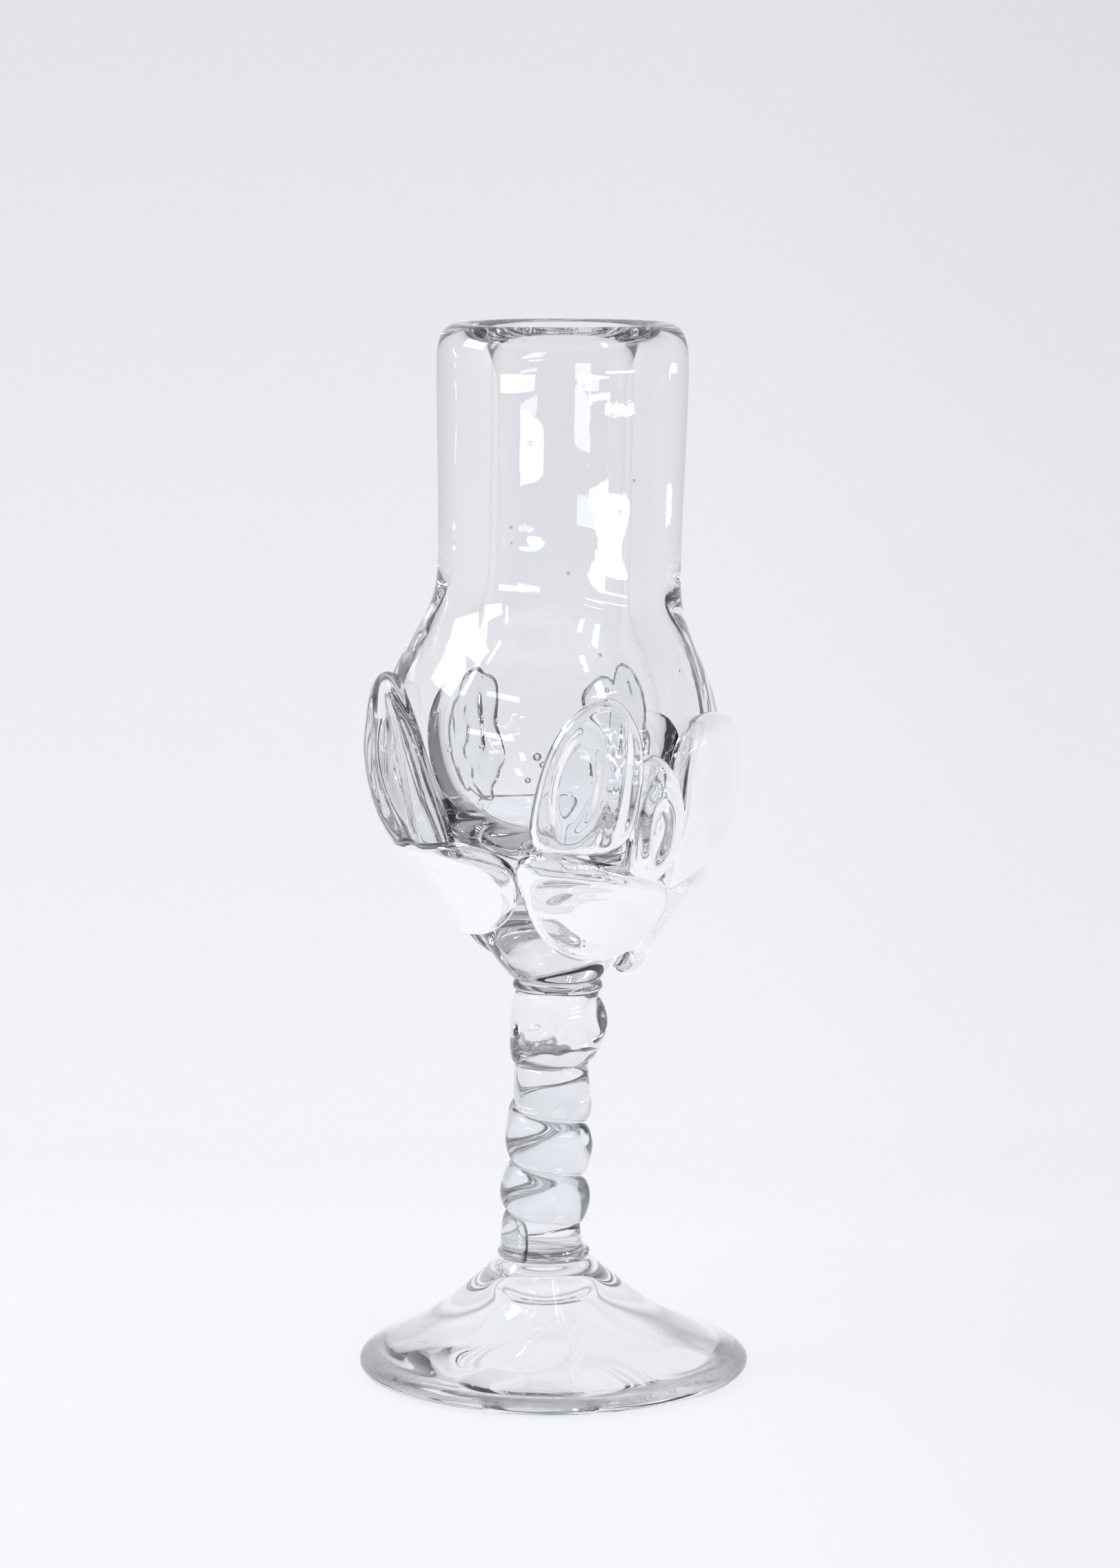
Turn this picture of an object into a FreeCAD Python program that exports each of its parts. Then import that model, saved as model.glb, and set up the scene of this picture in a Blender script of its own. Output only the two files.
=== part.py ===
"""Heavy clear-glass goblet with a petalled bowl, built gather by gather as a glassmaker builds it.

Every gather of hot glass is its own solid: the blown cup, the petals and sepals laid on it, the
collars, the knop, the stem rod with the trail wound round it, and the kicked-up foot.
The frame has +Z up and its origin at the centre of the foot's rest plane. Lengths are in
millimetres and angles in degrees. An azimuth is 0 at -Y and grows towards +X.
"""
import FreeCAD, Part
import math
import os

import Sketcher

SIZES = (
    ("foot_radius", 45.0, "foot, outside"),
    ("foot_height", 26.0, "foot, from the table to the lower collar"),
    ("foot_top_radius", 10.4, "foot, where the lower collar sits on it"),
    ("foot_sweep", 62.0, "foot, radius of the concave upper side"),
    ("foot_rim", 4.4, "foot, thickness at the rim"),
    ("foot_rim_round", 1.9, "foot, rounding of the rim"),
    ("foot_ring", 9.0, "foot, width of the ring that it rests on"),
    ("kick_height", 14.5, "hollow under the foot, height"),
    ("kick_top_radius", 8.0, "hollow under the foot, flat top with the pontil mark"),
    ("kick_sweep", 60.0, "hollow under the foot, radius of its side"),
    ("kick_round", 2.5, "hollow under the foot, rounding of its top"),
    ("collar_thickness", 2.6, "lower collar, thickness"),
    ("collar_radius", 11.2, "both collars, outside"),
    ("collar_round", 1.2, "both collars, rounding"),
    ("upper_collar_thickness", 3.0, "upper collar, thickness"),
    ("stem_radius", 8.0, "stem rod"),
    ("stem_length", 43.0, "stem rod"),
    ("trail_radius", 2.2, "trail wound on the stem, its own radius"),
    ("trail_seat", 0.4, "trail, how far its centre lies inside the rod's surface"),
    ("trail_pitch", 12.6, "trail, rise per turn"),
    ("trail_margin", 4.4, "trail, from its end's centre to the nearest collar or knop"),
    ("knop_radius", 11.8, "knop, outside"),
    ("knop_height", 16.4, "knop, between its flat ends"),
    ("cup_height", 149.0, "cup, from the upper collar to the lip"),
    ("cup_base_radius", 10.0, "cup, flat that sits on the upper collar"),
    ("bulb_rise", 55.0, "bulb's centre above the cup's base"),
    ("bulb_radius", 39.0, "bulb, outside"),
    ("neck_radius", 28.4, "neck, outside"),
    ("bore_radius", 16.0, "neck, inside"),
    ("cavity_rise", 57.0, "bulb cavity's centre above the cup's base"),
    ("cavity_radius", 25.5, "bulb cavity"),
    ("lip_round", 5.4, "lip, rounding of both edges"),
    ("shoulder_round", 9.0, "outside, between neck and bulb"),
    ("throat_round", 7.0, "inside, between bore and bulb cavity"),
    ("petal_bulge", 5.6, "petals, thickness over the bulb"),
    ("sepal_bulge", 6.2, "sepals, thickness over the cup's lower cone"),
    ("sepal_reach", 30.5, "sepals, radius along the cone"),
)

# name, azimuth, downward tilt, sideways lean, half width, reach along the bulb
PETALS = (
    ("petal_front", 11.0, 11.0, 4.0, 20.0, 27.5),
    ("petal_left", -60.0, 13.0, -8.0, 23.0, 33.0),
    ("petal_right", 79.0, 17.0, 9.0, 22.0, 32.0),
    ("petal_front_right", 38.0, 20.0, 14.0, 15.0, 28.5),
    ("petal_back_right", 139.0, 15.0, -5.0, 22.0, 31.0),
    ("petal_back_left", -134.0, 17.0, 7.0, 22.5, 32.0),
)

# name, azimuth, half width
SEPALS = (
    ("sepal_front", 24.0, 23.5),
    ("sepal_left", -52.0, 23.5),
    ("sepal_right", 108.0, 24.0),
    ("sepal_back", -150.0, 25.0),
)

UP = FreeCAD.Vector(0, 0, 1)
LEVEL_MATCH = 0.01

doc = FreeCAD.newDocument("goblet")
sheet = doc.addObject("Spreadsheet::Sheet", "Sizes")
subparts = {}


def write_cell(row, alias, number, meaning):
    sheet.set("A%d" % row, meaning)
    sheet.set("B%d" % row, repr(number))
    sheet.setAlias("B%d" % row, alias)


def fill_sheet():
    rows = list(SIZES)
    for name, azimuth, tilt, lean, half_width, reach in PETALS:
        rows.append((name + "_azimuth", azimuth, name + ", azimuth"))
        rows.append((name + "_tilt", tilt, name + ", centre below the bulb's middle"))
        rows.append((name + "_lean", lean, name + ", sideways lean of its tip"))
        rows.append((name + "_half_width", half_width, name + ", radius across"))
        rows.append((name + "_reach", reach, name + ", radius along the bulb"))
    for name, azimuth, half_width in SEPALS:
        rows.append((name + "_azimuth", azimuth, name + ", azimuth"))
        rows.append((name + "_half_width", half_width, name + ", radius across"))
    for row, (alias, number, meaning) in enumerate(rows, start=1):
        write_cell(row, alias, number, meaning)
    doc.recompute()


def cell(alias):
    return "Sizes." + alias


def amount(expression):
    """The number that an expression in the sheet's aliases stands for."""
    found = sheet.evalExpression(expression)
    return float(getattr(found, "Value", found))


# Levels and radii that several sub-parts share, each an expression in the sheet's aliases.
ROD_FOOT = "(Sizes.foot_height + Sizes.collar_thickness)"
ROD_TOP = "(%s + Sizes.stem_length)" % ROD_FOOT
KNOP_TOP = "(%s + Sizes.knop_height)" % ROD_TOP
CUP_BASE = "(%s + Sizes.upper_collar_thickness)" % KNOP_TOP
LIP = "(%s + Sizes.cup_height)" % CUP_BASE
BULB_LEVEL = "(%s + Sizes.bulb_rise)" % CUP_BASE
CAVITY_LEVEL = "(%s + Sizes.cavity_rise)" % CUP_BASE
SHOULDER = "(%s + sqrt(Sizes.bulb_radius^2 - Sizes.neck_radius^2))" % BULB_LEVEL
THROAT = "(%s + sqrt(Sizes.cavity_radius^2 - Sizes.bore_radius^2))" % CAVITY_LEVEL
WALL = "(Sizes.neck_radius - Sizes.bore_radius)"
# The cup's lower cone touches the bulb at this angle from straight down, as seen from its centre.
TOUCH = (
    "(atan(Sizes.cup_base_radius / Sizes.bulb_rise)"
    " + acos(Sizes.bulb_radius / sqrt(Sizes.cup_base_radius^2 + Sizes.bulb_rise^2)))"
)
TOUCH_RADIUS = "(Sizes.bulb_radius * sin%s)" % TOUCH
TOUCH_LEVEL = "(%s - Sizes.bulb_radius * cos%s)" % (BULB_LEVEL, TOUCH)
TRAIL_LOW = "(%s + Sizes.trail_margin)" % ROD_FOOT
TRAIL_RISE = "(Sizes.stem_length - 2 * Sizes.trail_margin)"
TRAIL_CENTRE = "(Sizes.stem_radius - Sizes.trail_seat)"


def place(obj, height="0", yaw="0", pitch="0", roll="0", out="0"):
    """Binds a Placement: out along +X, up to a height, and turned about Z, Y and X in that order."""
    obj.setExpression(
        "Placement",
        "create(<<placement>>; create(<<vector>>; %s; 0; %s); create(<<rotation>>; %s; %s; %s))"
        % (out, height, yaw, pitch, roll),
    )


def keep(obj, name):
    obj.Label = name
    subparts[name] = obj
    return obj


def arc_between(start, end, radius, side):
    """A circular arc of at most half a turn. side is 1 where its centre lies left of start to end."""
    chord = end - start
    across = FreeCAD.Vector(-chord.y, chord.x, 0) * (side / chord.Length)
    off_chord = math.sqrt(radius * radius - chord.Length * chord.Length / 4)
    centre = (start + end) * 0.5 + across * off_chord
    first, last = (start, end) if side > 0 else (end, start)
    angles = [math.atan2(p.y - centre.y, p.x - centre.x) for p in (first, last)]
    return Part.ArcOfCircle(Part.Circle(centre, UP, radius), *angles)


def half_outline(body, name, corners, arcs):
    """A closed half outline on the body's XZ plane, every corner and arc bound to the sheet.

    corners are (radius, height) expressions. arcs maps a corner's index to (radius expression,
    side) for the arc that leaves it; every other stretch is a line.
    """
    sketch = body.newObject("Sketcher::SketchObject", name)
    plane = next(f for f in body.Origin.OriginFeatures if f.Role == "XZ_Plane")
    sketch.AttachmentSupport = (plane, [""])
    sketch.MapMode = "FlatFace"
    points = [FreeCAD.Vector(amount(r), amount(z), 0) for r, z in corners]
    starts, ends = [], []
    for i, start in enumerate(points):
        end = points[(i + 1) % len(points)]
        if i in arcs:
            radius, side = arcs[i]
            sketch.addGeometry(arc_between(start, end, amount(radius), side), False)
            number = sketch.addConstraint(Sketcher.Constraint("Radius", i, amount(radius)))
            sketch.setExpression("Constraints[%d]" % number, radius)
            starts.append(1 if side > 0 else 2)
            ends.append(2 if side > 0 else 1)
        else:
            sketch.addGeometry(Part.LineSegment(start, end), False)
            starts.append(1)
            ends.append(2)
    for i, point in enumerate(points):
        before = (i - 1) % len(points)
        sketch.addConstraint(Sketcher.Constraint("Coincident", before, ends[before], i, starts[i]))
        for kind, axis, value, expression in (
            ("DistanceX", -2, point.x, corners[i][0]),
            ("DistanceY", -1, point.y, corners[i][1]),
        ):
            if abs(value) < 1e-9:
                sketch.addConstraint(Sketcher.Constraint("PointOnObject", i, starts[i], axis))
                continue
            number = sketch.addConstraint(Sketcher.Constraint(kind, -1, 1, i, starts[i], value))
            sketch.setExpression("Constraints[%d]" % number, expression)
    doc.recompute()
    return sketch


def turned(body, kind, name, sketch):
    """A full Revolution or Groove of a half outline about Z."""
    feature = body.newObject(kind, name)
    feature.Profile = sketch
    feature.ReferenceAxis = (sketch, ["V_Axis"])
    feature.Angle = 360
    doc.recompute()
    return feature


def edges_at(shape, radius, height):
    """Names of the circular edges about Z with this radius at this height."""
    names = []
    for i, edge in enumerate(shape.Edges, start=1):
        curve = None if edge.Degenerated else edge.Curve
        if not isinstance(curve, Part.Circle):
            continue
        if abs(curve.Radius - radius) < LEVEL_MATCH and abs(curve.Center.z - height) < LEVEL_MATCH:
            names.append("Edge%d" % i)
    return names


def rounded(body, name, radius, *circles):
    """A PartDesign fillet on the circles given as (radius, height) expressions."""
    doc.recompute()
    base = body.Tip
    names = []
    for ring_radius, ring_height in circles:
        names += edges_at(base.Shape, amount(ring_radius), amount(ring_height))
    if len(names) < len(circles):
        raise RuntimeError("%s found %d of %d edges" % (name, len(names), len(circles)))
    fillet = body.newObject("PartDesign::Fillet", name)
    fillet.Base = (base, names)
    fillet.setExpression("Radius", radius)
    doc.recompute()
    return fillet


def make_foot():
    """The kicked-up foot: a cone that sweeps out to a rounded rim, hollow underneath."""
    body = keep(doc.addObject("PartDesign::Body", "foot"), "foot")
    ring = "(Sizes.foot_radius - Sizes.foot_ring)"
    outside = half_outline(
        body,
        "foot_outside",
        [
            ("0", cell("foot_height")),
            ("0", "0"),
            (cell("foot_radius"), "0"),
            (cell("foot_radius"), cell("foot_rim")),
            (cell("foot_top_radius"), cell("foot_height")),
        ],
        {3: (cell("foot_sweep"), -1)},
    )
    turned(body, "PartDesign::Revolution", "foot_cone", outside)
    hollow = half_outline(
        body,
        "kick_outline",
        [
            ("0", "0"),
            (ring, "0"),
            (cell("kick_top_radius"), cell("kick_height")),
            ("0", cell("kick_height")),
        ],
        {1: (cell("kick_sweep"), -1)},
    )
    turned(body, "PartDesign::Groove", "kick", hollow)
    rounded(
        body,
        "foot_rim_fillet",
        "min(Sizes.foot_rim_round; 0.45 * Sizes.foot_rim)",
        (cell("foot_radius"), "0"),
        (cell("foot_radius"), cell("foot_rim")),
    )
    rounded(
        body, "kick_fillet", cell("kick_round"), (cell("kick_top_radius"), cell("kick_height"))
    )
    place(body)


def make_collar(name, thickness, height):
    """A flat rounded wafer of glass that joins two gathers."""
    body = keep(doc.addObject("PartDesign::Body", name), name)
    outline = half_outline(
        body,
        name + "_outline",
        [("0", "0"), (cell("collar_radius"), "0"), (cell("collar_radius"), thickness), ("0", thickness)],
        {},
    )
    turned(body, "PartDesign::Revolution", name + "_wafer", outline)
    rounded(
        body,
        name + "_fillet",
        "min(Sizes.collar_round; 0.45 * %s)" % thickness,
        (cell("collar_radius"), "0"),
        (cell("collar_radius"), thickness),
    )
    place(body, height=height)


def make_knop():
    """The ball of glass at the top of the stem, flattened where the rod and the collar meet it."""
    ball = keep(doc.addObject("Part::Sphere", "knop_ball"), "stem_knop")
    ball.setExpression("Radius", cell("knop_radius"))
    flat = "asin(Sizes.knop_height / 2 / Sizes.knop_radius)"
    ball.setExpression("Angle1", "-" + flat)
    ball.setExpression("Angle2", flat)
    place(ball, height="%s + Sizes.knop_height / 2" % ROD_TOP)


def make_stem():
    """The solid rod, and the trail of glass wound round it and half sunk into it."""
    rod = keep(doc.addObject("Part::Cylinder", "rod"), "stem_rod")
    rod.setExpression("Radius", cell("stem_radius"))
    rod.setExpression("Height", cell("stem_length"))
    place(rod, height=ROD_FOOT)

    path = doc.addObject("Part::Helix", "trail_path")
    path.LocalCoord = "Left-handed"
    path.setExpression("Radius", TRAIL_CENTRE)
    path.setExpression("Pitch", cell("trail_pitch"))
    path.setExpression("Height", TRAIL_RISE)
    place(path, height=TRAIL_LOW)
    section = doc.addObject("Part::Circle", "trail_section")
    section.setExpression("Radius", cell("trail_radius"))
    place(section, height=TRAIL_LOW, out=TRAIL_CENTRE, roll="90")
    doc.recompute()
    wound = doc.addObject("Part::Sweep", "wound_trail")
    wound.Sections = [section]
    wound.Spine = (path, ["Edge%d" % (i + 1) for i in range(len(path.Shape.Edges))])
    wound.Solid = True
    wound.Frenet = True
    trail = keep(doc.addObject("Part::Cut", "trail"), "stem_trail")
    trail.Base = wound
    trail.Tool = rod
    place(trail)
    doc.recompute()


def make_cup():
    """The blown cup: straight neck, round bulb and solid conical base round one cavity."""
    body = keep(doc.addObject("PartDesign::Body", "cup"), "cup")
    outside = half_outline(
        body,
        "cup_outside",
        [
            ("0", LIP),
            ("0", CUP_BASE),
            (cell("cup_base_radius"), CUP_BASE),
            (TOUCH_RADIUS, TOUCH_LEVEL),
            (cell("neck_radius"), SHOULDER),
            (cell("neck_radius"), LIP),
        ],
        {3: (cell("bulb_radius"), 1)},
    )
    turned(body, "PartDesign::Revolution", "cup_blank", outside)
    cavity = half_outline(
        body,
        "cavity_outline",
        [
            ("0", LIP),
            ("0", "%s - Sizes.cavity_radius" % CAVITY_LEVEL),
            (cell("bore_radius"), THROAT),
            (cell("bore_radius"), LIP),
        ],
        {1: (cell("cavity_radius"), 1)},
    )
    turned(body, "PartDesign::Groove", "cavity", cavity)
    rounded(
        body,
        "lip_fillet",
        "min(Sizes.lip_round; 0.45 * %s)" % WALL,
        (cell("neck_radius"), LIP),
        (cell("bore_radius"), LIP),
    )
    rounded(body, "shoulder_fillet", cell("shoulder_round"), (cell("neck_radius"), SHOULDER))
    rounded(body, "throat_fillet", cell("throat_round"), (cell("bore_radius"), THROAT))
    place(body)


def make_cup_form():
    """The solid shape of the bulb and the cone under it, which the petals and sepals lie on."""
    ball = doc.addObject("Part::Sphere", "bulb_form")
    ball.setExpression("Radius", cell("bulb_radius"))
    place(ball, height=BULB_LEVEL)
    cone = doc.addObject("Part::Cone", "cone_form")
    cone.setExpression("Radius1", cell("cup_base_radius"))
    cone.setExpression("Radius2", TOUCH_RADIUS)
    cone.setExpression("Height", "%s - %s" % (TOUCH_LEVEL, CUP_BASE))
    place(cone, height=CUP_BASE)
    form = doc.addObject("Part::MultiFuse", "cup_form")
    form.Shapes = [ball, cone]
    doc.recompute()
    return form


def laid_on(name, level, radial, across, along, turn, tilt, lean, beneath):
    """Half an ellipsoid centred on the cup's axis, less everything that it was laid over.

    A half cylinder behind the axis takes away what a tilted gather would leave on the far side.
    """
    gather = doc.addObject("Part::Ellipsoid", name + "_gather")
    gather.setExpression("Radius1", along)
    gather.setExpression("Radius2", across)
    gather.setExpression("Radius3", radial)
    gather.Angle3 = 180
    place(gather, height=level, yaw="%s + 180" % turn, pitch=lean, roll="-1 * %s" % tilt)
    far_side = doc.addObject("Part::Cylinder", name + "_far_side")
    far_side.setExpression("Radius", "2 * Sizes.bulb_radius")
    far_side.setExpression("Height", LIP)
    far_side.Angle = 180
    place(far_side, yaw=turn)
    under = doc.addObject("Part::MultiFuse", name + "_beneath")
    under.Shapes = [far_side] + beneath
    leaf = doc.addObject("Part::Cut", name + "_leaf")
    leaf.Base = gather
    leaf.Tool = under
    place(leaf)
    doc.recompute()
    return keep(leaf, name)


def make_leaves():
    """The upper tier of petals on the bulb and the lower tier of sepals on the cone."""
    form = make_cup_form()
    laid = []
    for name, *_ in PETALS:
        petal = laid_on(
            name,
            BULB_LEVEL,
            "Sizes.bulb_radius + Sizes.petal_bulge",
            cell(name + "_half_width"),
            cell(name + "_reach"),
            cell(name + "_azimuth"),
            cell(name + "_tilt"),
            cell(name + "_lean"),
            [form] + laid,
        )
        laid.append(petal)
    middle_radius = "((Sizes.cup_base_radius + %s) / 2)" % TOUCH_RADIUS
    middle_level = "((%s + %s) / 2)" % (CUP_BASE, TOUCH_LEVEL)
    centre = "(%s + %s / tan%s)" % (middle_level, middle_radius, TOUCH)
    depth = "(%s / sin%s)" % (middle_radius, TOUCH)
    for name, *_ in SEPALS:
        sepal = laid_on(
            name,
            centre,
            "%s + Sizes.sepal_bulge" % depth,
            cell(name + "_half_width"),
            cell("sepal_reach"),
            cell(name + "_azimuth"),
            "(90 deg - %s)" % TOUCH,
            "0",
            [form, subparts["upper_collar"], subparts["stem_knop"]] + laid,
        )
        laid.append(sepal)


def check_document():
    """Stops if any object failed to recompute or any sub-part has no sound solid."""
    for obj in doc.Objects:
        if {"Invalid", "Error"} & set(obj.State):
            raise RuntimeError("%s is in state %s" % (obj.Label, obj.State))
    for name, obj in subparts.items():
        shape = obj.Shape
        if shape.isNull() or not shape.isValid() or not shape.Solids:
            raise RuntimeError("%s has no sound shape" % name)


def write_parts():
    os.makedirs("parts", exist_ok=True)
    for name, obj in subparts.items():
        obj.Shape.exportStep(os.path.join("parts", name + ".step"))
        print("%-18s %d solid(s) %9.1f mm3" % (name, len(obj.Shape.Solids), obj.Shape.Volume))


def main():
    fill_sheet()
    make_foot()
    make_collar("lower_collar", cell("collar_thickness"), cell("foot_height"))
    make_stem()
    make_knop()
    make_collar("upper_collar", cell("upper_collar_thickness"), KNOP_TOP)
    make_cup()
    make_leaves()
    doc.recompute()
    check_document()
    write_parts()


main()
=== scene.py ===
"""A goblet blown in clear glass: thick neck, bulb wrapped in petals, twisted stem, kicked-up foot."""

import math

import bmesh
import bpy
from mathutils import Matrix, Vector, noise


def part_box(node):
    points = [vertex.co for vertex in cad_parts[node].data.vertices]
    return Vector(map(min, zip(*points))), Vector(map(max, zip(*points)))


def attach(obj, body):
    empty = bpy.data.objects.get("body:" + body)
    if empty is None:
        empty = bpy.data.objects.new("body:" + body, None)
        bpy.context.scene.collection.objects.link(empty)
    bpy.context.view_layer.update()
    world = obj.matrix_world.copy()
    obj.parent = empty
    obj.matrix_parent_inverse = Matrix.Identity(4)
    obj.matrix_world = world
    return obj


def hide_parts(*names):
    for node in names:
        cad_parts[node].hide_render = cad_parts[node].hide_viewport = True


bl_info = {
    "name": "Petal Goblet",
    "version": (1, 0, 0),
    "blender": (4, 5, 0),
    "location": "3D View > Sidebar > Goblet",
    "description": "Builds a heavy clear goblet with laid-on petals, a twisted stem and a kicked-up foot",
    "category": "Add Mesh",
}

MM = 0.001
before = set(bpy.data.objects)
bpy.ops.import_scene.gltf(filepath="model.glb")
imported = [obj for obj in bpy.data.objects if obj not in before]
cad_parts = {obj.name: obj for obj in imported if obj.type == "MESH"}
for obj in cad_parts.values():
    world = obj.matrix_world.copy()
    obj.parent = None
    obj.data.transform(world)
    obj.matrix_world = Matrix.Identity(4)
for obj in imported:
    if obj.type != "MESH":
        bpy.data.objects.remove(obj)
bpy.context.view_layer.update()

CUP_LOW, CUP_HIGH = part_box("cup")
KNOP_LOW, KNOP_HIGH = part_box("stem_knop")
LOWER_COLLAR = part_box("lower_collar")
UPPER_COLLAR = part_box("upper_collar")

# Levels in millimetres: where the cup starts, where its bulb ends and where its neck runs straight.
CUP_BASE = CUP_LOW.z / MM
SHOULDER = CUP_BASE + 87
NECK_FROM = CUP_BASE + 92

# Half outlines as (radius, height) in millimetres. Heights in the cup's lists start at its base.
CUP_OUTSIDE = [
    (0, -0.8), (6, -0.8), (9.6, -0.3), (11.4, 1.6), (14.2, 5), (17.6, 10), (21.9, 17), (26.6, 24),
    (31, 29.8), (34.6, 34.8), (37.3, 41), (38.7, 48), (39, 55), (38.2, 62), (36.2, 69), (33, 75.6),
    (30, 81.4), (28, 87), (27.4, 93), (27.55, 103), (27.85, 114), (28.15, 126), (28.45, 138), (28.3, 143.6),
]
LIP_ROUND = [(27.2, 147.2), (24.8, 148.9), (22.2, 149), (19.6, 147.8), (17.4, 145.2), (16.3, 141)]
CUP_INSIDE = [
    (16, 134), (15.9, 122), (16, 110), (16, 98), (16.1, 90), (16.9, 84.4), (19.2, 78.6), (22.4, 72.4),
    (24.7, 65.4), (25.5, 58), (25.1, 50.6), (23, 44), (19.2, 38.8), (13.6, 34.8), (7, 32.4), (0, 31.6),
]
FOOT_OUTLINE = [
    (0, 27.4), (6, 27.4), (9.6, 27.2), (10.9, 26), (12.4, 24.2), (15.4, 21.6), (19.4, 18), (23.6, 14.7),
    (28.4, 11.4), (33.4, 8.7), (38.4, 6.7), (42.2, 5.1), (44.4, 3.5), (45, 2.1), (44.3, 0.7), (42.4, 0.05),
    (39.2, 0), (37, 0.1), (34.6, 0.7), (30.4, 1.9), (24, 4.1), (18, 7), (13, 10.4), (10.2, 13.1), (8.8, 14.5),
    (7.2, 14.3), (5, 13.4), (2.4, 13.1), (0, 13.1),
]
ROD_OUTLINE = [
    (0, 25.6), (6, 25.6), (9.4, 26.4), (9.2, 29), (8.4, 33), (8, 40), (7.9, 48), (7.6, 56), (7.6, 62),
    (8, 68), (8.8, 73), (8.4, 76), (5, 77), (0, 77),
]

# The cup's skin above its flat base, as (level, radius).
BULB_SKIN = [(z + CUP_BASE, r) for r, z in CUP_OUTSIDE[2:]]

# How far each level stands to the right of the axis, as (height, offset): nothing hand-blown is straight.
CUP_DRIFT = [
    (80, 0.9), (91, 0.9), (104, 0.8), (125, 0.3), (140, -0.4), (158, -0.9), (170, -0.3), (182, 1.3),
    (200, 1.7), (222, 2.1), (245, 2.2),
]
STEM_DRIFT = [
    (0, 0), (5, 0), (12, -1.4), (20, -1.9), (28, -2.2), (36, -2.1), (44, -1.6), (52, -0.9), (60, -1.2),
    (66, -1.1), (73, 0), (80, 1.1), (88, 1), (95, 0.9),
]

# The leaves laid on the cup. Angles are degrees round the cup, from the front to the right, and lengths are
# millimetres.
#   turn, low, high, spread   where the leaf's middle is, its two ends and half its width
#   lean, drop                how far the tip goes to the right, and how far the right-hand side hangs
#   narrow, taper             how much the tip thins, and how much shorter the right-hand side is
#   powers                    how square the lower and the upper end are
#   bulge, soft               how far the face stands out, and how rounded its edge is (1 is a lens)
#   curl                      how far the tip bends away from the cup
#   hollow                    the dish in the face: its place across and along, half sizes and share of depth
#   ridge, rings, folds       the raised edge, the ripples round it and the folds along the right-hand side
#   rough                     how uneven the outline and the face are
PETALS = {
    "petal_front": dict(
        turn=13, low=126.2, high=159, spread=16.5, lean=5, narrow=0.12, powers=(5, 2.3), bulge=5.4,
        curl=1, hollow=(-0.3, -0.1, 0.42, 0.68, 0.55), ridge=0.5, folds=0.22,
    ),
    "petal_left": dict(
        turn=-61, low=121, high=161.5, spread=19.5, lean=-5, narrow=0.2, powers=(3, 2.2), bulge=5.2,
        curl=2.2, hollow=(0.12, 0.05, 0.5, 0.76, 0.42), ridge=0.2,
    ),
    "petal_right": dict(
        turn=68, low=115.5, high=153.5, spread=27, lean=-4, narrow=0.05, powers=(2.6, 2.4), bulge=5,
        curl=2.2, hollow=(0.05, 0.15, 0.55, 0.6, 0.55), ridge=0.3, rough=0.22,
    ),
    "petal_front_right": dict(
        turn=35.5, low=116.5, high=147, spread=10.5, lean=-2, narrow=0.15, powers=(2.2, 2.1),
        bulge=5.6, curl=0.4, hollow=(0, -0.1, 0.3, 0.42, 0.4), ridge=0.3, rings=0.22, soft=0.55,
    ),
    "petal_back_right": dict(
        turn=139, low=121, high=156, spread=23, lean=4, drop=3, narrow=0.1, powers=(2.6, 2.2),
        bulge=4.6, curl=1.4, hollow=(0.1, 0, 0.5, 0.6, 0.5), ridge=0.2, soft=0.8, rough=0.8,
    ),
    "petal_back_left": dict(
        turn=-134, low=121, high=156, spread=22, lean=-5, drop=-2, narrow=0.2, powers=(2.6, 2.2),
        bulge=4.6, curl=1.2, hollow=(-0.1, 0, 0.5, 0.6, 0.5), ridge=0.2, soft=0.8, rough=0.8,
    ),
}
SEPALS = {
    "sepal_front": dict(
        turn=24, low=99.5, high=123.5, spread=39, drop=3.2, powers=(2.3, 3.4), bulge=6, curl=2.6,
        hollow=(0, -0.05, 0.78, 0.62, 0.22), taper=0.3,
    ),
    "sepal_left": dict(
        turn=-59, low=104.2, high=127.4, spread=41, drop=-1, powers=(2.2, 3.4), bulge=4.6, curl=1.4,
        hollow=(0, -0.05, 0.78, 0.65, 0.22),
    ),
    "sepal_right": dict(
        turn=106, low=94, high=120.5, spread=42, drop=-2, powers=(2.4, 3.2), bulge=7.2, curl=2,
        hollow=(0, 0, 0.75, 0.6, 0.25),
    ),
    "sepal_back": dict(
        turn=-151, low=95, high=121, spread=46, drop=2, powers=(2.4, 3.2), bulge=5, curl=2,
        hollow=(0, 0, 0.75, 0.6, 0.25),
    ),
}
SEPAL_NARROW, SEPAL_RIDGE = -0.02, 0.9
# Where a leaf's raised edge runs and how wide it is, as shares of the way out; how close its ripples and
# folds lie; and how deep its back sinks into the cup, in millimetres.
RIDGE_AT, RIDGE_WIDE = 0.87, 0.08
RING_RATE, FOLD_RATE = 17, 16
LEAF_SINK = 0.6

# Pinches in the knop, as (turn, level, depth, reach), and the distance from the axis at which they sit.
KNOP_PINCHES = (
    (-34, 82.6, 2.2, 3.6), (-16, 84, 1.6, 3.2), (-8, 80.2, 2.6, 3.4), (-30, 78, 1.8, 3),
    (-52, 80.4, 1.4, 3.4), (6, 77.4, 1.8, 2.8), (60, 83, 1.2, 5), (150, 80, 1.6, 6), (-120, 79, 1.5, 6),
    (26, 74.6, 0.8, 4),
)
KNOP_RADIUS = 11.4

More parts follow.
